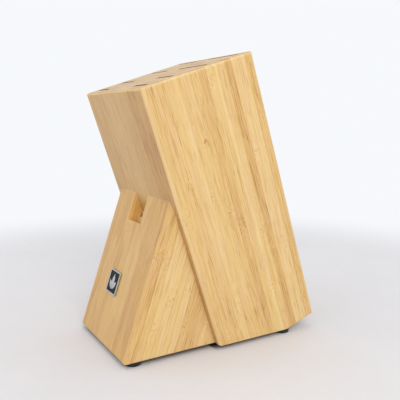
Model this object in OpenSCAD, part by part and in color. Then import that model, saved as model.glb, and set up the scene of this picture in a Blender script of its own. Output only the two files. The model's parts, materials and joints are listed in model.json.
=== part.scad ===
// Countertop knife block: a leaning stack of bamboo boards with knife slots between them,
// carried by a wedge-shaped front foot that holds the kitchen shears.
// Millimetres. +X is the right side seen from the front, +Y the back, +Z up.
// The origin is on the ground, under the middle of the block.

/* [Body] */
// Width of the leaning body, side to side
body_w = 114; // [95:1:140]
// Full length of the boards, along the lean
board_l = 239; // [215:1:290]
// Lean of the body, forward of upright, in degrees
lean = 18.5; // [14:0.5:24]
// Length trimmed off the front board so that the body sits flat
base_trim = 24; // [18:1:30]
// Thickness of the front board
front_board_t = 8; // [6:0.5:12]
// Thickness of the second board
second_board_t = 18; // [15:0.5:26]
// Thickness of the third board
third_board_t = 27; // [18:0.5:32.5]
// Thickness of the fourth board
fourth_board_t = 26; // [18:0.5:32]
// Thickness of the back board
back_board_t = 5; // [4:0.5:12]
// Radius of the rounded edges that run along the body
body_edge_r = 3; // [1:0.25:3.5]
// Radius of the rounded edges around the body's ends
body_end_r = 2.5; // [1:0.25:3.5]

/* [Knife slots] */
// Thickness of every knife slot, which is the thickness of its strips
slot_t = 4; // [3:0.25:6]
// Wood between the outermost slots and the sides
slot_margin = 8.5; // [7:0.5:12]
// Width of both slots in the first row, for paring knives
paring_w = 24; // [20:1:26]
// Width of both slots in the second row, for utility knives
utility_w = 28; // [22:1:32]
// Width of the left slot in the third row, for a bread knife
bread_w = 32; // [26:1:36]
// Width of the left slot in the fourth row, for a carving knife
carving_w = 34; // [26:1:36]
// Width of the right slots in the third and fourth rows, for broad blades
chef_w = 46; // [38:1:56]
// Width of the eased edge around every slot's mouth
mouth_ease = 0.4; // [0.2:0.1:1.2]

/* [Front foot] */
// Width of the front foot
foot_w = 100; // [84:1:106]
// Length of the foot's joint, measured up the front of the body
foot_joint_l = 127.6; // [112:0.2:152]
// Lean of the foot's front face, backward of upright, in degrees
foot_lean = 18.5; // [15:0.5:22]
// Radius of the foot's rounded front edges
foot_edge_r = 5.5; // [1:0.25:7]

/* [Shears slot] */
// Width of the recess at the top of the foot
recess_w = 24; // [22:0.5:28]
// Depth of the recess, square to the foot's front face
recess_d = 7.7; // [6.5:0.1:9]
// Length of the recess, measured down the foot's front face
recess_l = 24; // [20:0.5:30]
// Offset of the recess from the middle plane
recess_x = -2.5; // [-6:0.5:6]
// Width of the slot for the shears' blades
shears_w = 20; // [14:0.5:21]
// Thickness of the slot for the shears' blades
shears_t = 5.5; // [4.5:0.1:6]
// Drop from the foot's top edge to the top of the strip beside the shears' slot
shears_strip_drop = 18; // [14:0.5:22]

/* [Dowels] */
// Diameter of the dowels that locate the foot on the body
body_dowel_d = 6; // [5:0.5:8]
// Depth of these dowels in the foot
body_dowel_grip = 16; // [12:1:20]
// Wood left in the front board behind these dowels
body_dowel_cover = 2; // [1.5:0.25:3]
// Distance of these dowels from the middle plane
body_dowel_x = 30; // [24:1:38]
// Diameter of the dowels that cross the foot
cross_dowel_d = 8; // [6:0.5:10]
// Length of the dowels that cross the foot
cross_dowel_l = 64; // [50:1:74]
// Radial glue gap around every dowel
dowel_gap = 0.05; // [0.02:0.01:0.15]

/* [Rubber feet] */
// Radius of a rubber foot
rubber_r = 7; // [6:0.25:8]
// Height of a rubber foot
rubber_h = 4; // [3.5:0.25:6]
// Set-in of the front rubber feet from the sides of the foot
front_rubber_in = 9; // [7:0.5:14]
// Set-in of the rear rubber feet from the sides of the body
rear_rubber_in = 7.5; // [7.5:0.5:14]
// Set-back of the front rubber feet from the foot's front edge
front_rubber_back = 11; // [8.5:0.5:14]
// Set-in of the rear rubber feet from the back end of the flat base
rear_rubber_back = 5; // [4:0.5:14]

/* [Foot screws] */
// Radius of the screw's head
screw_head_r = 3; // [2.6:0.1:3.2]
// Height of the screw's head
screw_head_h = 1.4; // [1:0.1:1.5]
// Outer radius of the screw's thread
screw_thread_r = 1.75; // [1.5:0.05:2]
// Depth of the thread's ridges
thread_depth = 0.45; // [0.3:0.05:0.6]
// Pitch of the thread's ridges
thread_pitch = 1.4; // [1:0.1:2]
// Length of the screw in the wood
screw_grip = 12; // [9:0.5:15]
// Thickness of the washer under the head
washer_t = 0.8; // [0.6:0.1:1]
// Radius of the washer
washer_r = 3.8; // [3.6:0.1:4.2]

/* [Badge] */
// Side of the square badge
badge_w = 19.5; // [16:0.5:24]
// Thickness of the badge's metal plate
badge_t = 1.2; // [0.8:0.1:2]
// Width of the badge's bright border
badge_border = 1.1; // [0.8:0.1:2.5]
// Depth of the sunk field inside the border
badge_field_d = 0.4; // [0.2:0.05:0.6]
// Thickness of the enamel in the sunk field
enamel_t = 0.25; // [0.1:0.05:0.35]
// Thickness of the adhesive pad behind the badge
badge_pad_t = 0.3; // [0.2:0.1:0.6]
// Offset of the badge from the middle plane
badge_x = -5.5; // [-10:0.5:10]
// Height of the badge's centre, measured up the foot's front face
badge_up = 50; // [36:0.5:70]
// Radius of the badge's corners
badge_corner_r = 1.2; // [0.5:0.1:2]

/* [Hidden] */
$fn = 48;

arc_steps = 6;      // straight steps in each rounded edge
far = 400;          // longer than anything in the block
clear = 1;          // how far a cutter runs past what it cuts
hole_gap = 0.05;    // radial gap around a screw, a washer or a head
bamboo = "#e0bd84";
end_strip = "#d8b077";
dowel_wood = "#dcc79a";
rubber = "#1c1c1e";
steel = "#b9bcc0";
enamel = "#16171a";
tape = "#e9e9e6";

// Front face of each layer of the stack, counted from the body's front face
paring_row = front_board_t;
second_board = paring_row + slot_t;
utility_row = second_board + second_board_t;
third_board = utility_row + slot_t;
bread_row = third_board + third_board_t;
fourth_board = bread_row + slot_t;
carving_row = fourth_board + fourth_board_t;
back_board = carving_row + slot_t;
body_t = back_board + back_board_t;

// Side outline of the body in its own leaning frame: [depth, length]
flat_end = base_trim / tan(lean);
body_outline = [[0, base_trim], [flat_end, 0], [body_t, 0], [body_t, board_l], [0, board_l]];
body_corner_r = [2, 1, 4, body_end_r, body_end_r];

// Side outline of the foot, upright: [y, z], with the body's front bottom edge at 0
apex = [-foot_joint_l * sin(lean), foot_joint_l * cos(lean)];
toe_y = apex[0] - apex[1] * tan(foot_lean);
foot_face_l = apex[1] / cos(foot_lean);
toe_r = 1.2;
underside_r = 1.5;

// The block is moved so that its origin is under the middle of its rounded outline
front_y = toe_y + toe_r * (1 / tan((90 - foot_lean) / 2) - 1);
back_y = body_t * cos(lean) + base_trim * sin(lean) - body_corner_r[2] * (cos(lean) + sin(lean) - 1);
middle_y = (front_y + back_y) / 2;
base_l = flat_end / cos(lean);

front_rubber = [foot_w / 2 - front_rubber_in, toe_y + front_rubber_back];
rear_rubber = [body_w / 2 - rear_rubber_in, base_l - rear_rubber_back];
rubber_spots = [
    [-front_rubber[0], front_rubber[1]], front_rubber,
    [-rear_rubber[0], rear_rubber[1]], rear_rubber
];
rubber_ledge = 1.4;  // rubber left above the washer
head_seat = rubber_h - rubber_ledge - washer_t;
thread_root_r = screw_thread_r - thread_depth;
tip_l = 3;

body_dowel_l = body_dowel_grip + front_board_t - body_dowel_cover;
recess_left = recess_x - recess_w / 2;
recess_right = recess_x + recess_w / 2;
body_dowel_up = [34, 78];       // heights of the body dowels along the joint
cross_dowel_up = [0.16, 0.46];  // heights of the cross dowels, as shares of the foot's

// The points of a fillet of radius r at corner b, between a and c
function fillet(a, b, c, r) =
    let (u = (a - b) / norm(a - b),
         v = (c - b) / norm(c - b),
         half = acos(u * v) / 2,
         centre = b + (u + v) / norm(u + v) * r / sin(half),
         from = b + u * r / tan(half) - centre,
         to = b + v * r / tan(half) - centre,
         start = atan2(from[1], from[0]),
         turn = atan2(to[1], to[0]) - start,
         swing = turn > 180 ? turn - 360 : turn < -180 ? turn + 360 : turn)
    [for (i = [0:arc_steps])
        centre + r * [cos(start + swing * i / arc_steps), sin(start + swing * i / arc_steps)]];

// An outline with a fillet of its own radius at each corner
function rounded(points, radii) =
    let (n = len(points))
    [for (i = [0:n - 1])
        each radii[i] > 0
            ? fillet(points[(i + n - 1) % n], points[i], points[(i + 1) % n], radii[i])
            : [points[i]]];

// A rectangle from x = -w/2 to w/2 and y = 0 to h
function sheet(w, h) = [[-w / 2, 0], [w / 2, 0], [w / 2, h], [-w / 2, h]];

// The same radius for all four corners of a rectangle
function four(r) = [r, r, r, r];

// A y-z outline drawn out to both sides along X
module across(w) {
    rotate([90, 0, 90]) linear_extrude(w, center = true) children();
}

// The body's leaning frame: X across, Y through the stack, Z along the boards
module lean_frame() {
    translate([0, -middle_y, rubber_h]) rotate([lean, 0, 0]) translate([0, 0, -base_trim]) children();
}

// The foot's upright frame, with the body's front bottom edge on its X axis
module foot_frame() {
    translate([0, -middle_y, rubber_h]) children();
}

// The foot's front face: X across, Z up the face from the toe, -Y out of it
module face_frame() {
    foot_frame() translate([0, toe_y, 0]) rotate([-foot_lean, 0, 0]) children();
}

module body_envelope() {
    intersection() {
        across(body_w) polygon(rounded(body_outline, body_corner_r));
        linear_extrude(board_l) polygon(rounded(sheet(body_w, body_t), four(body_edge_r)));
        translate([0, body_t, 0]) rotate([90, 0, 0]) linear_extrude(body_t)
            polygon(rounded(sheet(body_w, board_l), four(body_end_r)));
    }
}

// The slots of the stack: [left edge, right edge, front face]
outer_x = body_w / 2 - slot_margin;
slots = [
    [-outer_x, -outer_x + paring_w, paring_row], [outer_x - paring_w, outer_x, paring_row],
    [-outer_x, -outer_x + utility_w, utility_row], [outer_x - utility_w, outer_x, utility_row],
    [-outer_x, -outer_x + bread_w, bread_row], [outer_x - chef_w, outer_x, bread_row],
    [-outer_x, -outer_x + carving_w, carving_row], [outer_x - chef_w, outer_x, carving_row]
];

// A flared outline from the edge [0, w] at the mouth's floor to the eased edge above it
function flare(w) =
    [[0, -clear], [w, -clear], [w, 0], [w + mouth_ease + clear, mouth_ease + clear],
     [-mouth_ease - clear, mouth_ease + clear], [0, 0]];

// The eased mouths of all slots, cut into the top end of the stack
module slot_mouths() {
    for (slot = slots)
        translate([slot[0], slot[2], board_l - mouth_ease]) intersection() {
            translate([0, slot_t + far / 2, 0]) rotate([90, 0, 0]) linear_extrude(far)
                polygon(flare(slot[1] - slot[0]));
            translate([-far / 2, 0, 0]) rotate([90, 0, 90]) linear_extrude(far)
                polygon(flare(slot_t));
        }
}

// One board or strip of the stack, from x0 to x1 across and from y0 through its thickness
module layer(x0, x1, y0, thickness) {
    lean_frame() difference() {
        intersection() {
            body_envelope();
            translate([x0, y0, -clear]) cube([x1 - x0, thickness, board_l + 2 * clear]);
        }
        slot_mouths();
    }
}

module board(y0, thickness) {
    layer(-body_w / 2, body_w / 2, y0, thickness);
}

module body_dowel_set(r, extra) {
    for (side = [-1, 1], up = body_dowel_up)
        lean_frame() translate([side * body_dowel_x, -body_dowel_grip - extra, base_trim + up])
            rotate([-90, 0, 0]) cylinder(r = r, h = body_dowel_l + 2 * extra);
}

module body_dowel_holes() {
    body_dowel_set(body_dowel_d / 2 + dowel_gap, dowel_gap);
}

// Middle of the foot's solid depth at height z, clear of the shears slot
function foot_mid_y(z) =
    let (front = toe_y + z * tan(foot_lean), rear = -z * tan(lean) - shears_t / cos(lean))
    (front + rear) / 2;

module cross_dowel_set(r, extra) {
    for (share = cross_dowel_up) {
        z = share * apex[1];
        foot_frame() translate([recess_x, foot_mid_y(z), z]) rotate([0, 90, 0])
            cylinder(r = r, h = cross_dowel_l + 2 * extra, center = true);
    }
}

module screw_holes() {
    for (spot = rubber_spots)
        foot_frame() translate([spot[0], spot[1], -clear])
            cylinder(r = screw_thread_r + hole_gap, h = screw_grip + clear + hole_gap);
}

// Left strip, middle strip and right strip of a row whose slots are left_w and right_w wide
module left_strip(y0) {
    layer(-body_w / 2, -outer_x, y0, slot_t);
}

module middle_strip(y0, left_w, right_w) {
    layer(-outer_x + left_w, outer_x - right_w, y0, slot_t);
}

module right_strip(y0) {
    layer(outer_x, body_w / 2, y0, slot_t);
}

module front_board() {
    color(bamboo) difference() {
        board(0, front_board_t);
        body_dowel_holes();
    }
}

module second_board() {
    color(bamboo) board(second_board, second_board_t);
}

module third_board() {
    color(bamboo) difference() {
        board(third_board, third_board_t);
        screw_holes();
    }
}

module fourth_board() {
    color(bamboo) difference() {
        board(fourth_board, fourth_board_t);
        screw_holes();
    }
}

module back_board() {
    color(bamboo) board(back_board, back_board_t);
}

module paring_row_left_strip() {
    color(end_strip) left_strip(paring_row);
}

module paring_row_middle_strip() {
    color(end_strip) middle_strip(paring_row, paring_w, paring_w);
}

module paring_row_right_strip() {
    color(end_strip) right_strip(paring_row);
}

module utility_row_left_strip() {
    color(end_strip) left_strip(utility_row);
}

module utility_row_middle_strip() {
    color(end_strip) middle_strip(utility_row, utility_w, utility_w);
}

module utility_row_right_strip() {
    color(end_strip) right_strip(utility_row);
}

module bread_row_left_strip() {
    color(end_strip) difference() {
        left_strip(bread_row);
        screw_holes();
    }
}

module bread_row_middle_strip() {
    color(end_strip) middle_strip(bread_row, bread_w, chef_w);
}

module bread_row_right_strip() {
    color(end_strip) difference() {
        right_strip(bread_row);
        screw_holes();
    }
}

module carving_row_left_strip() {
    color(end_strip) left_strip(carving_row);
}

module carving_row_middle_strip() {
    color(end_strip) middle_strip(carving_row, carving_w, chef_w);
}

module carving_row_right_strip() {
    color(end_strip) right_strip(carving_row);
}

module foot_envelope() {
    front_r = foot_edge_r;
    intersection() {
        foot_frame() across(foot_w) polygon(rounded([[toe_y, 0], [0, 0], apex], [toe_r, 0, 0]));
        face_frame() translate([0, 0, -far / 2]) linear_extrude(far)
            polygon(rounded(sheet(foot_w, far / 2), [front_r, front_r, 0, 0]));
        foot_frame() translate([0, far / 2, 0]) rotate([90, 0, 0]) linear_extrude(far)
            polygon(rounded(sheet(foot_w, far / 2), [underside_r, underside_r, 0, 0]));
    }
}

// The part of the foot between x0 and x1
module foot_slice(x0, x1) {
    intersection() {
        foot_envelope();
        translate([x0, -far / 2, 0]) cube([x1 - x0, far, far]);
    }
}

module foot_holes() {
    body_dowel_holes();
    cross_dowel_set(cross_dowel_d / 2 + dowel_gap, dowel_gap);
    screw_holes();
}

module foot_left_cheek() {
    color(bamboo) difference() {
        foot_slice(-foot_w / 2, recess_left);
        foot_holes();
    }
}

module foot_right_cheek() {
    color(bamboo) difference() {
        foot_slice(recess_right, foot_w / 2);
        foot_holes();
    }
}

// The foot's middle layer with its recess cut away
module recessed_middle() {
    difference() {
        foot_slice(recess_left, recess_right);
        face_frame() translate([recess_left - clear, -clear, foot_face_l - recess_l])
            cube([recess_w + 2 * clear, recess_d + clear, far]);
    }
}

// The layer next to the body's front face that the shears' blades go down
module shears_layer() {
    lean_frame() translate([-foot_w / 2, -shears_t, -far / 2]) cube([foot_w, far, far]);
}

module foot_core() {
    color(bamboo) difference() {
        recessed_middle();
        shears_layer();
        foot_holes();
    }
}

module shears_slot_strip() {
    color(end_strip) intersection() {
        recessed_middle();
        shears_layer();
        translate([recess_left - clear, -far / 2, 0]) cube([recess_w - shears_w + clear, far, far]);
        lean_frame() translate([-foot_w / 2, -far / 2, -far / 2])
            cube([foot_w, far, far / 2 + base_trim + foot_joint_l - shears_strip_drop]);
    }
}

module body_dowels() {
    color(dowel_wood) body_dowel_set(body_dowel_d / 2, 0);
}

module cross_dowels() {
    color(dowel_wood) cross_dowel_set(cross_dowel_d / 2, 0);
}

// A rubber foot, turned from half of its outline: [radius, height]
module rubber_foot(index) {
    spot = rubber_spots[index];
    ledge = rubber_h - rubber_ledge;
    tread_r = 0.8;
    outline = [
        [washer_r + hole_gap, 0], [rubber_r - 0.3, 0], [rubber_r, rubber_h],
        [screw_thread_r + hole_gap, rubber_h], [screw_thread_r + hole_gap, ledge],
        [washer_r + hole_gap, ledge]
    ];
    color(rubber) translate([spot[0], spot[1] - middle_y, 0])
        rotate_extrude() polygon(rounded(outline, [0.3, tread_r, 0, 0, 0, 0]));
}

module foot_washers() {
    color(steel) for (spot = rubber_spots)
        translate([spot[0], spot[1] - middle_y, head_seat]) difference() {
            cylinder(r = washer_r, h = washer_t);
            translate([0, 0, -clear]) cylinder(r = screw_thread_r + hole_gap, h = washer_t + 2 * clear);
        }
}

// Half outline of a foot screw, head down, with ridges for its thread: [radius, height]
function screw_outline() =
    let (ridges = floor((screw_grip - tip_l) / thread_pitch),
         top = rubber_h + screw_grip,
         first = top - tip_l - ridges * thread_pitch,
         head_foot = head_seat - screw_head_h)
    concat(
        [[0, head_foot], [screw_head_r * 0.72, head_foot], [screw_head_r, head_foot + screw_head_h * 0.55],
         [screw_head_r, head_seat], [thread_root_r, head_seat], [thread_root_r, first]],
        [for (i = [0:ridges - 1]) each [
            [screw_thread_r, first + (i + 0.5) * thread_pitch],
            [thread_root_r, first + (i + 1) * thread_pitch]]],
        [[0, top]]);

module foot_screws() {
    slot_w = 0.8;
    slot_d = 0.7;
    color(steel) for (spot = rubber_spots)
        translate([spot[0], spot[1] - middle_y, 0]) difference() {
            rotate_extrude() polygon(screw_outline());
            for (turn = [0, 90])
                rotate(turn) translate([0, 0, head_seat - screw_head_h - clear + slot_d / 2])
                    cube([screw_head_r * 1.1, slot_w, 2 * clear + slot_d], center = true);
        }
}

// A square sheet of side w with rounded corners, lying on the foot's front face from y0 outward
module badge_sheet(w, r, y0, thickness) {
    face_frame() translate([badge_x, -y0, badge_up - w / 2]) rotate([90, 0, 0]) linear_extrude(thickness)
        polygon(rounded(sheet(w, w), four(r)));
}

module badge_plate() {
    field_w = badge_w - 2 * badge_border;
    color(steel) difference() {
        badge_sheet(badge_w, badge_corner_r, badge_pad_t, badge_t);
        badge_sheet(field_w, badge_corner_r / 2, badge_pad_t + badge_t - badge_field_d, badge_field_d + clear);
    }
}

module badge_enamel() {
    field_w = badge_w - 2 * badge_border;
    color(enamel)
        badge_sheet(field_w, badge_corner_r / 2, badge_pad_t + badge_t - badge_field_d, enamel_t);
}

module badge_pad() {
    color(tape) badge_sheet(badge_w - 2, badge_corner_r, 0, badge_pad_t);
}

front_board();
second_board();
third_board();
fourth_board();
back_board();
paring_row_left_strip();
paring_row_middle_strip();
paring_row_right_strip();
utility_row_left_strip();
utility_row_middle_strip();
utility_row_right_strip();
bread_row_left_strip();
bread_row_middle_strip();
bread_row_right_strip();
carving_row_left_strip();
carving_row_middle_strip();
carving_row_right_strip();
foot_left_cheek();
foot_right_cheek();
foot_core();
shears_slot_strip();
body_dowels();
cross_dowels();
rubber_foot(0);  // rubber_foot_front_left
rubber_foot(1);  // rubber_foot_front_right
rubber_foot(2);  // rubber_foot_rear_left
rubber_foot(3);  // rubber_foot_rear_right
foot_washers();
foot_screws();
badge_plate();
badge_enamel();
badge_pad();
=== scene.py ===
import json
import math

import bpy
from mathutils import Matrix, Vector


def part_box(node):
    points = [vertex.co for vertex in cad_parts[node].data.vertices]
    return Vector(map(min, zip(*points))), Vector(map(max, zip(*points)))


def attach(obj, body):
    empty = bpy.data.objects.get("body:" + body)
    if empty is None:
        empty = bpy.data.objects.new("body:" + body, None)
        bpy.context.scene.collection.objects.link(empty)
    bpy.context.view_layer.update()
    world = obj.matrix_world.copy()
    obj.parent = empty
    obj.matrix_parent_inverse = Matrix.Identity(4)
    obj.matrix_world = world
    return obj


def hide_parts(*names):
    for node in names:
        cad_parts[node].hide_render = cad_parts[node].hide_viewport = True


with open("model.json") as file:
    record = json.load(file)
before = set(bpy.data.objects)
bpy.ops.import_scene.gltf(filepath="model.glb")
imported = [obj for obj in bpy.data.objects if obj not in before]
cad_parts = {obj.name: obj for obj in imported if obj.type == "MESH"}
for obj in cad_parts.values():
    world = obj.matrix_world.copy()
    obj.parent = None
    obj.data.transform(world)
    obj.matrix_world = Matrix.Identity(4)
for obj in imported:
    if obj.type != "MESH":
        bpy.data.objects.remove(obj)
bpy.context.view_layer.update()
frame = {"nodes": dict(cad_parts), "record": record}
nodes = frame["nodes"]
mounts = {mount["name"]: mount for mount in frame["record"]["mounts"]}
print("frame loaded:", len(nodes), "nodes")

mm = 0.001
nearly = 1e-6  # how near counts as the same place, in metres

# the block's own sizes, in millimetres and degrees
block = dict(
    boardLength=239.0,
    baseTrim=24.0,  # how much shorter the front board is, to sit flat
    jointLength=127.6,  # the foot's height, measured up the body's front
    footLean=18.5,
    toeRounding=0.467,  # how far the rounded toe stays behind the sharp one
    recessMiddle=-2.5,
    recessWidth=24.0,
)


class Wire:
    # A value or colour in a shader. Python's operators on it add Math nodes.
    def __init__(self, tree, socket=None):
        self.tree = tree
        self.socket = socket

    def node(self, kind, settings=None, inputs=None, output=0):
        made = self.tree.nodes.new(kind)
        for name, value in (settings or {}).items():
            if name == "stops":
                setStops(made.color_ramp, value)
            elif name == "blend":
                made.color_ramp.interpolation = value
            else:
                setattr(made, name, value)
        for name, value in (inputs or {}).items():
            if isinstance(value, Wire):
                self.tree.links.new(value.socket, made.inputs[name])
            else:
                made.inputs[name].default_value = value
        return Wire(self.tree, made.outputs[output])

    def maths(self, operation, *values):
        return self.node("ShaderNodeMath", {"operation": operation}, dict(enumerate(values)))

    def __add__(self, other):
        return self.maths("ADD", self, other)

    def __sub__(self, other):
        return self.maths("SUBTRACT", self, other)

    def __rsub__(self, other):
        return self.maths("SUBTRACT", other, self)

    def __mul__(self, other):
        return self.maths("MULTIPLY", self, other)

    def __truediv__(self, other):
        return self.maths("DIVIDE", self, other)

    def __mod__(self, other):
        return self.maths("FLOORED_MODULO", self, other)

    def __abs__(self):
        return self.maths("ABSOLUTE", self)

    __radd__ = __add__
    __rmul__ = __mul__

    def floor(self):
        return self.maths("FLOOR", self)

    def root(self):
        return self.maths("SQRT", self)

    def least(self, other):
        return self.maths("MINIMUM", self, other)

    def most(self, other):
        return self.maths("MAXIMUM", self, other)

    def step(self, low, high):
        # 0 below low and 1 above high, smooth between; a low above high turns it round
        inputs = {"Value": self, "From Min": low, "From Max": high}
        return self.node("ShaderNodeMapRange", {"interpolation_type": "SMOOTHSTEP"}, inputs)

    def split(self):
        return [self.node("ShaderNodeSeparateXYZ", None, {0: self}, axis) for axis in range(3)]

    def ramp(self, stops, blend="LINEAR"):
        return self.node("ShaderNodeValToRGB", {"stops": stops, "blend": blend}, {"Fac": self})

    def vector(self, x, y, z):
        return self.node("ShaderNodeCombineXYZ", None, {"X": x, "Y": y, "Z": z})

    def noise(self, vector, detail=2.0, roughness=0.5):
        inputs = {"Vector": vector, "Scale": 1.0, "Detail": detail, "Roughness": roughness}
        return self.node("ShaderNodeTexNoise", None, inputs)

    def mix(self, factor, first, second, blend="MIX"):
        settings = {"data_type": "RGBA", "blend_type": blend}
        return self.node("ShaderNodeMix", settings, {0: factor, 6: first, 7: second}, 2)

    def bump(self, height, distance, strength):
        inputs = {"Height": height, "Distance": distance, "Strength": strength}
        return self.node("ShaderNodeBump", None, inputs)


def setStops(ramp, stops):
    while len(ramp.elements) < len(stops):
        ramp.elements.new(1.0)
    while len(ramp.elements) > len(stops):
        ramp.elements.remove(ramp.elements[-1])
    for element, (place, colour) in zip(ramp.elements, stops):
        element.position = place
        element.color = (*colour, 1.0)


def newMaterial(name, look):
    # look: what the shader's constant sockets hold. Also returns the shader and a Wire to start from.
    material = bpy.data.materials.new(name)
    material.use_nodes = True
    shader = material.node_tree.nodes["Principled BSDF"]
    for socket, value in look.items():
        shader.inputs[socket].default_value = value
    return material, shader, Wire(material.node_tree)


def feed(start, shader, wires):
    for socket, wire in wires.items():
        start.tree.links.new(wire.socket, shader.inputs[socket])


def placed(start, lie):
    # The piece's own coordinates in millimetres, turned about X and moved so that lie's origin is zero
    inputs = {
        "Vector": start.node("ShaderNodeTexCoord", output="Object"),
        "Location": -(Matrix.Rotation(lie["turn"], 3, "X") @ lie["origin"]) / mm,
        "Rotation": (lie["turn"], 0.0, 0.0),
        "Scale": (1 / mm, 1 / mm, 1 / mm),
    }
    return start.node("ShaderNodeMapping", {"vector_type": "POINT"}, inputs)


bamboo = dict(
    stripWidth=19.5,  # flat face of one bamboo strip, in millimetres
    knuckleGap=235.0,  # length between two knuckles of one strip
    heightUnit=300.0,  # a ramp's colours hold the knuckles' heights as shares of this
    toneLift=0.2,  # a ramp's colours can't go below zero, so tones are held this much higher
    glueWidth=0.28,
    roundedFrom=(52.0, 54.0),  # distance from the middle plane at which the body's rounded edges start
    colours=[
        (0.00, (0.320, 0.130, 0.040)),
        (0.18, (0.515, 0.275, 0.088)),
        (0.38, (0.630, 0.393, 0.142)),
        (0.55, (0.695, 0.465, 0.193)),
        (0.75, (0.742, 0.532, 0.250)),
        (1.00, (0.795, 0.615, 0.350)),
    ],
    endTint=(0.86, 0.88, 1.06, 1.0),
    goldTint=(1.01, 1.015, 0.92, 1.0),
    roseTint=(1.00, 0.985, 1.02, 1.0),
    fleckTint=(0.90, 0.66, 0.52, 1.0),
    slotShadeTint=(0.24, 0.075, 0.045, 1.0),
    recessShadeTint=(0.84, 0.76, 0.60, 1.0),
    wallLightTint=(1.25, 1.19, 0.98, 1.0),
    wallLightColour=(0.82, 0.50, 0.17, 1.0),
)

topMount = Vector(mounts["paring_slot_left"]["pos_m"])
alongBody = Vector(mounts["paring_slot_left"]["axis"])
lean = math.atan2(-alongBody.y, alongBody.z)
backOut = Vector((0.0, math.cos(lean), math.sin(lean)))
footLean = math.radians(block["footLean"])

# Each layer of the body: the nodes made from it, its place and thickness counted from the body's
# front face, and for each of its strips a tone from 0, orange, to 1, pale, and a knuckle's height.
# Some say more: spread is how far chance changes a strip's tone, streaks how strong the broad streaks
# are, stagger how far chance moves a knuckle, grain the strength of the grain, and calm its strength
# on the front face.
layers = dict(
    frontBoard=dict(
        nodes=["front_board"], start=0, thick=8, strips=[(0.38, 143)],
        spread=0.04, streaks=0.2, calm=0.6, frontShadeTint=(0.98, 0.995, 1.07, 1.0)),
    paringRow=dict(nodes=["paring_row_"], start=8, thick=4, strips=[(0.42, 60)]),
    secondBoard=dict(
        nodes=["second_board"], start=12, thick=18, strips=[(0.5, 200), (0.52, 41), (0.78, 95)]),
    utilityRow=dict(nodes=["utility_row_"], start=30, thick=4, strips=[(0.5, 187)]),
    thirdBoard=dict(
        nodes=["third_board"], start=34, thick=27,
        strips=[(0.52, 187), (0.5, 146), (0.42, 159), (0.6, 20)]),
    breadRow=dict(nodes=["bread_row_"], start=61, thick=4, strips=[(0.9, 101)]),
    fourthBoard=dict(
        nodes=["fourth_board"], start=65, thick=26,
        strips=[(0.74, 121), (0.08, 118), (0.7, 215), (0.84, 137)]),
    carvingRow=dict(nodes=["carving_row_"], start=91, thick=4, strips=[(0.2, 70)]),
    backBoard=dict(
        nodes=["back_board"], start=95, thick=5, strips=[(0.55, 60)],
        spread=0.2, stagger=190.0, streaks=0.2, grain=0.65),
)


# Each kind of mark: how often it changes in a millimetre across, through and along the strips, which of
# the three directions it is moved in from strip to strip, and its detail and roughness
marks = dict(
    sway=((0.05, 0.05, 0.012), 1, 1.0, 0.5),
    waver=((0.1, 0.1, 0.045), 2, 1.0, 0.5),
    broad=((0.3, 0.5, 0.005), 0, 2.0, 0.6),
    fibre=((1.2, 1.4, 0.03), 0, 3.0, 0.7),
    fine=((3.4, 3.4, 0.09), 1, 2.0, 0.65),
    line=((0.9, 1.05, 0.024), 1, 1.0, 0.5),
    dash=((1.3, 1.35, 0.075), 1, 1.0, 0.5),
    patch=((0.12, 0.16, 0.022), 2, 2.0, 0.5),
    wobble=((0.42, 0.42, 0.05), 2, 2.0, 0.6),
    fleck=((1.3, 1.3, 0.3), 2, 2.0, 0.6),
)


def streak(start, kind, place, shift):
    often, moved, detail, roughness = marks[kind]
    parts = [part * times for part, times in zip(place, often)]
    parts[moved] = parts[moved] + shift
    return start.noise(start.vector(*parts), detail, roughness)


def chosenStrip(place, strips):
    # The tone and the knuckle's height of the strip at a place from 0 to 1
    stops = [(index / len(strips), (tone + bamboo["toneLift"], height / bamboo["heightUnit"], 0.0))
             for index, (tone, height) in enumerate(strips)]
    tone, height = place.ramp(stops, "CONSTANT").split()[:2]
    return tone - bamboo["toneLift"], height


def stripPattern(start, thin, wide, layer, seed):
    # Which strip this is, in a row through the layer and a column across it, and its glue lines
    count = len(layer["strips"])
    depth = (thin - layer["start"]) / layer["thick"]
    row = (depth * count).floor().most(0.0).least(count - 1.0)
    inRow = depth * count - row
    pitch = layer.get("pitch", bamboo["stripWidth"])
    across = wide / pitch + (row * 0.41 * layer.get("step", 1.0) + layer.get("shift", 0.37)) % 1.0
    column = across.floor()
    inColumn = across - column
    chance = start.node("ShaderNodeTexWhiteNoise", {"noise_dimensions": "3D"},
                        {"Vector": start.vector(column, row + 3.5, seed + 0.5)}, "Color").split()
    own, high = chosenStrip(depth, layer["strips"])
    if "sides" in layer:
        # the face shows the first column only, and the sides show the tones of those behind it
        sideOwn, sideHigh = chosenStrip(wide / (pitch * len(layer["sides"])), layer["sides"])
        onSide = wide.step(1.5, 4.0)
        own = own + (sideOwn - own) * onSide
        high = high + (sideHigh - high) * onSide
    rowEdge = (abs(inRow - 0.5) * -1 + 0.5) * (layer["thick"] / count)
    columnEdge = (abs(inColumn - 0.5) * -1 + 0.5) * pitch
    glue = rowEdge.least(columnEdge).step(bamboo["glueWidth"], 0.05) * (chance[2] * 0.6 + 0.4)
    return dict(own=own, high=high, inRow=inRow, chance=chance, glue=glue)


def knuckleMarks(start, place, strip, away, layer):
    # Two thin dark bands, how near they are, and the broken flecks round them
    gap = bamboo["knuckleGap"]
    wobble = streak(start, "wobble", place, away) - 0.5
    stagger = strip["chance"][1] * layer.get("stagger", 60.0)
    shiftUp = strip["high"] * -bamboo["heightUnit"] + stagger + gap / 2
    knuckle = (place[2] + wobble * 9 + shiftUp) % gap - gap / 2
    band = abs(knuckle).step(1.1, 0.2) + abs(knuckle + 3.6).step(1.5, 0.3) * 0.5
    near = abs(knuckle + 1.5).step(17.0, 2.0)
    return band, near, near * streak(start, "fleck", place, away).step(0.55, 0.66)


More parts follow.
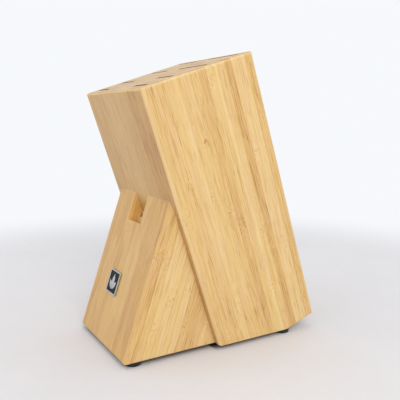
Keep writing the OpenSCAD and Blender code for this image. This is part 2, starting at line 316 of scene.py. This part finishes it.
def endColour(start, place, strip, away, patch):
    # A strip's cut fibre bundles show as dots, closer together on its outer side
    dots = start.node("ShaderNodeTexVoronoi", {"voronoi_dimensions": "2D"},
                      {"Vector": start.vector(place[0] + away, place[1], 0.0), "Scale": 1.35}, "Distance")
    dotted = dots.step(0.42, 0.18) * (strip["inRow"] * 0.55 + 0.3)
    tone = (
        strip["own"] * 0.2 + 0.42
        + (strip["chance"][0] - 0.5) * 0.25
        - dotted * 0.3
        + (patch - 0.5) * 0.3
        - strip["glue"] * 0.22
    )
    return start.mix(1.0, tone.ramp(bamboo["colours"]), bamboo["endTint"], "MULTIPLY"), dotted


def tinted(start, colour, x, y, z, sideways, sawn, layer):
    # Parts of a layer that differ from the rest of it, mostly by painted light and shade. Also returns
    # where the slot walls are painted dark and the wood is raw.
    slotShadeAndRaw = 0.0
    onFront = y.step(0.5, 0.1)
    if "shade" in layer:
        # painted shade darkens the walls inside the slots, which are also raw and burnt by the saw
        front, back, reach, mouth = layer["shade"]
        between = y.step(front, front + 0.4) * y.step(back, back - 0.4)
        slotShadeAndRaw = between * abs(x).step(reach, reach - 0.4) * (1.0 - sawn) * z.step(mouth, mouth - 0.3)
        colour = start.mix(slotShadeAndRaw, colour, bamboo["slotShadeTint"], "MULTIPLY")
    if "frontShadeTint" in layer:
        # painted shade: the body's front face leans over, away from the warm light, and is tinted greyer
        # and bluer
        colour = start.mix(onFront, colour, layer["frontShadeTint"], "MULTIPLY")
    if "recess" in layer:
        # painted shade, warm and dark, on the board's face behind the recess, between the foot's cheeks
        middle, half, top = layer["recess"]
        recessShade = abs(x - middle).step(half, half - 0.5) * z.step(top, top - 14.0) * onFront
        colour = start.mix(recessShade, colour, bamboo["recessShadeTint"], "MULTIPLY")
    if "wall" in layer:
        # painted light: the left wall of the recess is brightened and turned more orange, as where the
        # key light from the right falls on it
        place, lowest = layer["wall"]
        wall = abs(x - place).step(0.9, 0.5) * z.step(lowest, lowest + 0.5) * sideways.step(0.6, 0.9)
        colour = start.mix(wall, colour, bamboo["wallLightTint"], "MULTIPLY")
        colour = start.mix(wall * 0.45, colour, bamboo["wallLightColour"])
    return colour, slotShadeAndRaw


def bambooMaterial(name, lie, layer, seed):
    look = {"Coat Weight": 0.2, "Coat Roughness": 0.3, "Specular IOR Level": 0.4}
    material, shader, start = newMaterial(name, look)
    x, y, z = placed(start, lie).split()
    normal = start.node("ShaderNodeNewGeometry", output="Normal")
    sideways = abs(normal.split()[0])
    facing = start.node(
        "ShaderNodeVectorMath", {"operation": "DOT_PRODUCT"}, {0: normal, 1: lie["along"]}, "Value")
    sawn = abs(facing).step(0.80, 0.93)

    # fibres waver a little, and the strips with them
    sway = streak(start, "sway", (x, y, z), seed) - 0.5
    waver = streak(start, "waver", (x, y, z), seed) - 0.5
    place = (x + waver * 2.0, y + waver * 2.0, z)
    thin, wide = y + sway * 0.5, x + sway * 2.2
    if layer.get("turned"):
        thin, wide = wide, thin
    strip = stripPattern(start, thin, wide, layer, seed)
    away = strip["chance"][0] * 40
    band, near, flecks = knuckleMarks(start, place, strip, away, layer)

    # broad streaks, fine ones, thin dark and pale lines and short dark dashes
    broad, fibre, fine, line, dash = (
        streak(start, kind, place, away) for kind in ("broad", "fibre", "fine", "line", "dash"))
    patch = streak(start, "patch", place, seed)
    grain = (
        (fibre - 0.5) * 0.5
        + (fine - 0.5) * 0.34
        - line.step(0.57, 0.63) * 0.17
        + line.step(0.44, 0.36) * 0.07
        - dash.step(0.60, 0.68) * 0.17
        - band * 0.13
        - flecks * 0.24
    )
    # the grain is quieter on a front or back face, where the strips lie flat
    clarity = layer.get("grain", 1.0)
    if "calm" in layer:
        clarity = y.step(0.5, 3.0) * (1.0 - layer["calm"]) + layer["calm"]
    # painted highlight: the body's long rounded edges are made paler
    edge = sideways.step(0.2, 0.45) * sideways.step(0.985, 0.9) * abs(x).step(*bamboo["roundedFrom"])
    tone = (
        strip["own"] * 0.32 + 0.38
        + (strip["chance"][0] - 0.5) * layer.get("spread", 0.12)
        + (broad - 0.5) * layer.get("streaks", 0.26)
        + (patch - 0.5) * 0.2
        + near * 0.05
        - strip["glue"] * 0.28
        + grain * clarity
        + edge * layer.get("edgeHighlight", 0.15)
    )
    side = tone.ramp(bamboo["colours"])
    blush = start.noise(start.vector(place[0] * 0.09 + away, place[1] * 0.2, z * 0.018 + 9.0))
    tint = start.mix(blush.step(0.36, 0.64), bamboo["goldTint"], bamboo["roseTint"])
    side = start.mix(1.0, side, tint, "MULTIPLY")
    side = start.mix(flecks * 0.55, side, bamboo["fleckTint"], "MULTIPLY")

    end, dotted = endColour(start, place, strip, away, patch)
    colour = start.mix(sawn, side, end)
    colour, slotShadeAndRaw = tinted(start, colour, x, y, z, sideways, sawn, layer)
    height = fibre * 0.5 + fine * 0.35 - strip["glue"] * 0.9 - band * 0.5 - dotted * sawn * 0.4
    feed(start, shader, {
        "Base Color": colour,
        "Roughness": fibre * 0.16 + 0.36 + sawn * 0.14 + strip["glue"] * 0.1 + slotShadeAndRaw * 0.3,
        "Normal": start.bump(height, 0.00007, 0.55),
    })
    return material


def dress(names, material):
    for name in names:
        slots = nodes[name].data.materials
        slots.clear()
        slots.append(material)


# the body's leaning frame: its zero is where the front face meets the boards' square bottom end
paringMiddle = layers["paringRow"]["start"] + layers["paringRow"]["thick"] / 2
topFront = Vector((0.0, topMount.y, topMount.z)) - backOut * paringMiddle * mm
bodyLie = dict(turn=-lean, origin=topFront - alongBody * block["boardLength"] * mm, along=alongBody)
footTop = block["baseTrim"] + block["jointLength"]
layers["frontBoard"]["recess"] = (block["recessMiddle"], block["recessWidth"] / 2, footTop)
for index, (name, layer) in enumerate(layers.items()):
    # where shade is painted on the walls of the slots: behind 1 mm, in front of 99 mm, within 56 mm, and
    # below the mouths
    layer["shade"] = (1.0, 99.0, 56.0, block["boardLength"] - 0.05)
    seed = index * 7.3  # gives each layer marks of its own
    material = bambooMaterial(name + "Bamboo", bodyLie, layer, seed)
    for wanted in layer["nodes"]:
        dress([node for node in nodes if node.startswith(wanted)], material)
print("body dressed:", len(layers), "layers")

# the foot's frame: its zero is at the toe, and its boards lie along the front face
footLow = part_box("foot_left_cheek")[0]
toe = Vector((0.0, footLow.y - block["toeRounding"] * mm, footLow.z))
footLie = dict(turn=footLean, origin=toe, along=Vector((0.0, math.sin(footLean), math.cos(footLean))))
# its strips are 20 mm wide across the face and 6.6 mm deep, through the cheeks and the core alike,
# and the wall of its recess is left of the middle, from 100 mm up
recessLeft = block["recessMiddle"] - block["recessWidth"] / 2
footLayer = dict(
    turned=True, start=-57, thick=120, pitch=6.6, step=0.0, shift=0.0,
    spread=0.06, stagger=12.0, streaks=0.2, calm=0.45, edgeHighlight=0.0, wall=(recessLeft, 100.0),
    strips=[(0.46, 60), (0.48, 139), (0.42, 110), (0.70, 200), (0.44, 172), (0.0, 96)],
    sides=[(-0.1, 98), (0.4, 92), (0.8, 30), (0.85, 60), (0.7, 12), (0.85, 75), (0.35, 45), (0.05, 26),
           (0.3, 22), (0.75, 50), (0.6, 8), (0.6, 20)],
)
footNodes = ["foot_left_cheek", "foot_core", "foot_right_cheek", "shears_slot_strip"]
dress(footNodes, bambooMaterial("footBamboo", footLie, footLayer, 80.0))
print("foot dressed:", len(footNodes), "pieces")


upright = dict(turn=0.0, origin=Vector((0, 0, 0)))


def dowelMaterial():
    material, shader, start = newMaterial("dowelWood", {"Roughness": 0.6})
    x, y, z = placed(start, upright).split()
    grain = start.noise(start.vector(x * 0.2, y * 0.9, z * 0.9), 3.0, 0.6)
    colour = grain.ramp([(0.3, (0.46, 0.30, 0.15)), (0.7, (0.68, 0.50, 0.29))])
    feed(start, shader, {"Base Color": colour, "Normal": start.bump(grain, 0.0001, 0.4)})
    return material


def steelMaterial():
    material, shader, start = newMaterial("zincPlatedSteel", {"Metallic": 1.0})
    x, y, z = placed(start, upright).split()
    cloud = start.noise(start.vector(x * 0.5, y * 0.5, z * 0.5), 3.0, 0.6)
    scratch = start.noise(start.vector(x * 4.0, y * 0.4, z * 2.0), 2.0, 0.5)
    feed(start, shader, {
        "Base Color": cloud.ramp([(0.3, (0.46, 0.47, 0.50)), (0.7, (0.66, 0.67, 0.68))]),
        "Roughness": scratch * 0.2 + 0.22,
        "Normal": start.bump(scratch, 0.00003, 0.3),
    })
    return material


dress(["body_dowels", "cross_dowels"], dowelMaterial())
dress(["foot_screws", "foot_washers"], steelMaterial())
print("dowels and screws dressed")


def rubberMaterial():
    material, shader, start = newMaterial("blackRubber", {"Specular IOR Level": 0.35})
    x, y, z = placed(start, upright).split()
    grain = start.noise(start.vector(x * 3.2, y * 3.2, z * 3.2), 3.0, 0.6)
    dust = start.noise(start.vector(x * 0.3, y * 0.3, z * 0.3), 3.0, 0.6)
    feed(start, shader, {
        "Base Color": dust.ramp([(0.35, (0.010, 0.010, 0.011)), (0.75, (0.030, 0.030, 0.032))]),
        "Roughness": grain * 0.25 + 0.42,
        "Normal": start.bump(grain, 0.00008, 0.5),
    })
    return material


def choose(piece, faces=None, edges=None):
    # In edit mode, selects the faces or the edges that pass a test
    bpy.ops.object.mode_set(mode="EDIT")
    bpy.ops.mesh.select_mode(type="FACE" if faces else "EDGE")
    bpy.ops.mesh.select_all(action="DESELECT")
    bpy.ops.object.mode_set(mode="OBJECT")
    mesh = piece.data
    if faces:
        for face in mesh.polygons:
            face.select = faces(face)
    else:
        for edge in mesh.edges:
            edge.select = edges(*(mesh.vertices[index].co for index in edge.vertices))
    bpy.ops.object.mode_set(mode="EDIT")


def alone(piece):
    bpy.ops.object.select_all(action="DESELECT")
    piece.select_set(True)
    bpy.context.view_layer.objects.active = piece


def finished(piece, width, segments=2, angle=40.0):
    # Rounds the sharp edges, then smooths what is left of the facets
    bpy.ops.object.mode_set(mode="OBJECT")
    alone(piece)
    rounding = piece.modifiers.new("rounding", "BEVEL")
    rounding.width = width
    rounding.segments = segments
    rounding.limit_method = "ANGLE"
    rounding.angle_limit = math.radians(angle)
    bpy.ops.object.modifier_apply(modifier="rounding")
    bpy.ops.object.shade_smooth_by_angle(angle=math.radians(35))


def settle(piece, name, place, turn, material, *replaced):
    # Moves the mesh to its place, with the object's own origin at zero
    alone(piece)
    piece.name = name
    piece.location = place
    piece.rotation_euler = (turn, 0.0, 0.0)
    bpy.ops.object.transform_apply(location=True, rotation=True, scale=True)
    piece.data.materials.clear()
    piece.data.materials.append(material)
    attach(piece, "root")
    if replaced:
        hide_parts(*replaced)


rubberFoot = dict(
    radius=7.0, treadRadius=6.7, height=4.0,
    recess=3.85, recessDepth=2.6,  # room for the washer and the screw's head
    hole=1.8,
    rim=0.85, grooveDepth=0.45,  # a groove round the tread
    rounding=0.3,
)


def makeRubberFoot():
    part = {name: value * mm for name, value in rubberFoot.items()}
    bpy.ops.object.select_all(action="DESELECT")
    bpy.ops.mesh.primitive_cylinder_add(vertices=56, radius=part["radius"], depth=part["height"])
    foot = bpy.context.object
    half = part["height"] / 2

    def level(face, height, radius=None):
        # flat faces at one height, out to one radius
        flat = abs(face.normal.z) > 0.9 and abs(face.center.z - height) < 10 * nearly
        return flat and (radius is None or face.center.xy.length < radius)

    choose(foot, faces=lambda face: level(face, -half))
    bpy.ops.transform.resize(value=(part["treadRadius"] / part["radius"],) * 2 + (1.0,))
    bpy.ops.mesh.inset(thickness=part["treadRadius"] - part["recess"])
    bpy.ops.mesh.extrude_region_move(TRANSFORM_OT_translate={"value": (0.0, 0.0, part["recessDepth"])})
    bpy.ops.mesh.inset(thickness=part["recess"] - part["hole"])
    choose(foot, faces=lambda face: level(face, half))
    bpy.ops.mesh.inset(thickness=part["radius"] - part["hole"])
    ledge = part["recessDepth"] - half
    middle = 0.1 * mm
    choose(foot, faces=lambda face: level(face, half, middle) or level(face, ledge, middle))
    bpy.ops.mesh.bridge_edge_loops()
    choose(foot, faces=lambda face: level(face, -half))
    bpy.ops.mesh.inset(thickness=part["rim"])
    bpy.ops.mesh.extrude_region_move(TRANSFORM_OT_translate={"value": (0.0, 0.0, part["grooveDepth"])})
    finished(foot, part["rounding"], 3)
    return foot


def copied(piece):
    alone(piece)
    bpy.ops.object.duplicate(linked=False)
    return bpy.context.object


def middleOf(node):
    low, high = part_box(node)
    return (Vector(low) + Vector(high)) / 2


blackRubber = rubberMaterial()
rubberNodes = sorted(name for name in nodes if name.startswith("rubber_foot_"))
firstFoot = makeRubberFoot()
feet = [firstFoot] + [copied(firstFoot) for _ in rubberNodes[1:]]
for foot, node in zip(feet, rubberNodes):
    settle(foot, node.replace("rubber_foot", "ribbed_foot"), middleOf(node), 0.0, blackRubber, node)
print("rubber feet made:", len(feet))


def chromeMaterial():
    material, shader, start = newMaterial("brushedChrome", {"Metallic": 1.0})
    x, y, z = placed(start, footLie).split()
    brush = start.noise(start.vector(x * 0.4, y * 4.0, z * 9.0), 2.0, 0.5)
    feed(start, shader, {
        "Base Color": brush.ramp([(0.3, (0.44, 0.44, 0.43)), (0.7, (0.60, 0.60, 0.59))]),
        "Roughness": brush * 0.2 + 0.2,
        "Normal": start.bump(brush, 0.00002, 0.3),
    })
    return material


def enamelMaterial():
    material, shader, start = newMaterial("blackEnamel", {"Specular IOR Level": 0.12})
    x, y, z = placed(start, footLie).split()
    cloud = start.noise(start.vector(x * 0.6, y * 0.6, z * 0.6), 3.0, 0.6)
    feed(start, shader, {
        "Base Color": cloud.ramp([(0.3, (0.010, 0.011, 0.012)), (0.8, (0.022, 0.023, 0.025))]),
        "Roughness": cloud * 0.15 + 0.45,
    })
    return material


def tapeMaterial():
    material, shader, start = newMaterial("foamTape", {})
    x, y, z = placed(start, footLie).split()
    foam = start.noise(start.vector(x * 2.0, y * 2.0, z * 2.0), 3.0, 0.6)
    feed(start, shader, {
        "Base Color": foam.ramp([(0.3, (0.62, 0.62, 0.60)), (0.7, (0.80, 0.80, 0.78))]),
        "Roughness": foam * 0.2 + 0.7,
        "Normal": start.bump(foam, 0.0001, 0.5),
    })
    return material


badge = dict(side=19.5, thick=1.2, corner=1.2, border=1.1, sunk=0.4, enamel=0.25, rounding=0.22)
leaf = dict(width=4.2, length=8.6, point=1.7, thick=0.2, crease=0.22, rounding=0.06)
# each leaf of the emblem: its lean in degrees and its length against the first one's
sprig = dict(foot=-6.2, leaves=[(0.0, 1.12), (40.0, 0.84), (-40.0, 0.84)])


def makeBadgePlate():
    part = {name: value * mm for name, value in badge.items()}
    bpy.ops.object.select_all(action="DESELECT")
    bpy.ops.mesh.primitive_cube_add(size=1.0, scale=(part["side"], part["side"], part["thick"]))
    plate = bpy.context.object
    bpy.ops.object.transform_apply(location=True, rotation=True, scale=True)
    choose(plate, edges=lambda a, b: (a - b).xy.length < nearly)
    bpy.ops.mesh.bevel(offset=part["corner"], segments=6)
    choose(plate, faces=lambda face: face.normal.z > 0.9)
    bpy.ops.mesh.inset(thickness=part["border"])
    bpy.ops.mesh.extrude_region_move(TRANSFORM_OT_translate={"value": (0.0, 0.0, -part["sunk"])})
    finished(plate, part["rounding"], 3, 50.0)
    return plate


def makeLeaf():
    # A pointed leaf standing on its stalk end, with a crease along its middle
    part = {name: value * mm for name, value in leaf.items()}
    bpy.ops.object.select_all(action="DESELECT")
    bpy.ops.mesh.primitive_circle_add(vertices=28, radius=0.5, fill_type="NGON", rotation=(0.0, 0.0, 0.0))
    blade = bpy.context.object
    blade.scale = (part["width"], part["length"], 1.0)
    bpy.ops.object.transform_apply(location=True, rotation=True, scale=True)
    bpy.ops.object.mode_set(mode="EDIT")
    for end in (-1.0, 1.0):
        tip = end * part["length"] / 2
        bpy.ops.mesh.select_mode(type="VERT")
        bpy.ops.mesh.select_all(action="DESELECT")
        bpy.ops.object.mode_set(mode="OBJECT")
        for vertex in blade.data.vertices:
            vertex.select = abs(vertex.co.y - tip) < nearly
        bpy.ops.object.mode_set(mode="EDIT")
        bpy.ops.transform.translate(value=(0.0, end * part["point"], 0.0))
    bpy.ops.mesh.select_all(action="SELECT")
    bpy.ops.mesh.extrude_region_move(TRANSFORM_OT_translate={"value": (0.0, 0.0, part["thick"])})
    bpy.ops.mesh.select_all(action="SELECT")
    bpy.ops.mesh.normals_make_consistent(inside=False)
    for offset in (-0.5, 0.5):
        bpy.ops.mesh.select_all(action="SELECT")
        bpy.ops.mesh.bisect(plane_co=(offset * part["crease"], 0.0, 0.0), plane_no=(1.0, 0.0, 0.0))
    choose(blade, faces=lambda face: face.normal.z > 0.9 and abs(face.center.x) < part["crease"] * 0.4)
    bpy.ops.mesh.extrude_region_move(TRANSFORM_OT_translate={"value": (0.0, 0.0, -part["thick"] * 0.6)})
    finished(blade, part["rounding"], 2)
    return blade


def makeSprig():
    first = makeLeaf()
    blades = [first] + [copied(first) for _ in sprig["leaves"][1:]]
    foot = Vector((0.0, sprig["foot"] * mm, 0.0))
    for blade, (spread, share) in zip(blades, sprig["leaves"]):
        alone(blade)
        turn = Matrix.Rotation(math.radians(-spread), 4, "Z")
        reach = (leaf["length"] / 2 + leaf["point"]) * share * mm
        blade.matrix_world = (Matrix.Translation(foot) @ turn @ Matrix.Translation((0.0, reach, 0.0))
                              @ Matrix.Diagonal((share ** 0.5, share, 1.0, 1.0)))
        bpy.ops.object.transform_apply(location=True, rotation=True, scale=True)
    alone(first)
    for blade in blades:
        blade.select_set(True)
    bpy.ops.object.join()
    return first


faceTurn = math.pi / 2 - footLean
faceOut = Vector((0.0, -math.cos(footLean), math.sin(footLean)))
chrome = chromeMaterial()
settle(makeBadgePlate(), "bevelled_badge", middleOf("badge_plate"), faceTurn, chrome, "badge_plate")
enamelTop = middleOf("badge_enamel") + faceOut * badge["enamel"] / 2 * mm
settle(makeSprig(), "badge_leaves", enamelTop, faceTurn, chrome)
dress(["badge_enamel"], enamelMaterial())
dress(["badge_pad"], tapeMaterial())
print("badge made and dressed")


room = dict(
    floorRadius=1.1,
    fadeFrom=0.34,  # distance from the block at which the floor starts to fade to the backdrop
    fadeTo=0.62,
    floorColour=(0.728, 0.715, 0.724),
    # what the block hides from the light: half widths of the foot and the body, where they meet, and
    # their ends
    under=dict(footHalf=50.0, bodyHalf=57.0, meet=-12.0, front=-90.0, back=67.0, deep=13.0, dark=0.9),
    sky=(0.925, 0.942, 0.972, 1.0),
    middle=Vector((0.0, 0.0, 0.1)),  # what the lights point at
)


def makeFloor():
    bpy.ops.object.select_all(action="DESELECT")
    bpy.ops.mesh.primitive_circle_add(vertices=96, radius=room["floorRadius"], fill_type="NGON")
    floor = bpy.context.object
    floor.name = "floor"
    material, shader, start = newMaterial("paleFloor", {"Roughness": 0.7, "Specular IOR Level": 0.2})
    x, y = placed(start, upright).split()[:2]
    away = (x * x + y * y).root() * mm
    smudge = start.noise(start.vector(x * 0.012, y * 0.012, 0.0), 4.0, 0.6)
    fine = start.noise(start.vector(x * 0.09, y * 0.09, 5.0), 4.0, 0.6)
    pale = [tuple(part * shade for part in room["floorColour"]) for shade in (0.965, 1.0)]
    colour = (smudge * 0.7 + fine * 0.3).ramp([(0.35, pale[0]), (0.65, pale[1])])
    glow = start.node("ShaderNodeEmission", None, {"Color": room["sky"], "Strength": 1.0})
    output = material.node_tree.nodes["Material Output"]
    under = room["under"]
    # painted shadow on the floor under the block, darkest from 13 mm inside its outline
    wider = y.step(under["meet"] - 1, under["meet"] + 1)
    half = wider * (under["bodyHalf"] - under["footHalf"]) + under["footHalf"]
    inside = (half - abs(x)).least(y - under["front"]).least(under["back"] - y)
    paintedShadow = 1.0 - inside.step(0.0, under["deep"]) * under["dark"]
    colour = start.mix(1.0, colour, start.vector(paintedShadow, paintedShadow, paintedShadow), "MULTIPLY")
    feed(start, shader, {"Base Color": colour})
    faded = start.node("ShaderNodeMixShader", None, {
        0: away.step(room["fadeFrom"], room["fadeTo"]),
        1: Wire(start.tree, shader.outputs[0]),
        2: glow,
    })
    start.tree.links.new(faded.socket, output.inputs["Surface"])
    floor.data.materials.append(material)


def makeLight(name, place, size, power, colour):
    data = bpy.data.lights.new(name, "AREA")
    data.shape = "DISK"
    data.size = size
    data.energy = power
    data.color = colour
    light = bpy.data.objects.new(name, data)
    bpy.context.scene.collection.objects.link(light)
    light.location = place
    light.rotation_euler = (room["middle"] - Vector(place)).to_track_quat("-Z", "Y").to_euler()


lights = dict(
    key=dict(place=(1.5, -0.35, 1.1), size=1.1, power=11.5, colour=(1.0, 0.975, 0.935)),
    fill=dict(place=(-0.2, -1.6, 0.9), size=1.4, power=2.4, colour=(0.97, 0.985, 1.0)),
)


def makeWorld():
    world = bpy.data.worlds.new("studio")
    world.use_nodes = True
    background = world.node_tree.nodes["Background"]
    background.inputs["Color"].default_value = room["sky"]
    bpy.context.scene.world = world


camera = dict(
    place=(0.39096, -0.233, 0.18626),
    turn=58.74,  # degrees from looking along +Y towards -X
    tilt=8.75,  # degrees below the horizon
    roll=0.42,
    lens=46.84,
)


def makeCamera():
    data = bpy.data.cameras.new("camera")
    data.lens = camera["lens"]
    data.sensor_width = 36.0
    data.clip_start, data.clip_end = 0.01, 20.0
    view = bpy.data.objects.new("camera", data)
    bpy.context.scene.collection.objects.link(view)
    turn, tilt, roll = (math.radians(camera[part]) for part in ("turn", "tilt", "roll"))
    facing = Matrix.Rotation(turn, 4, "Z") @ Matrix.Rotation(math.pi / 2 - tilt, 4, "X")
    view.matrix_world = Matrix.Translation(camera["place"]) @ facing @ Matrix.Rotation(roll, 4, "Z")
    bpy.context.scene.camera = view


makeFloor()
for name, settings in lights.items():
    makeLight(name, **settings)
makeWorld()
makeCamera()
bpy.context.scene.view_settings.view_transform = "Standard"
print("room, lights and camera made")
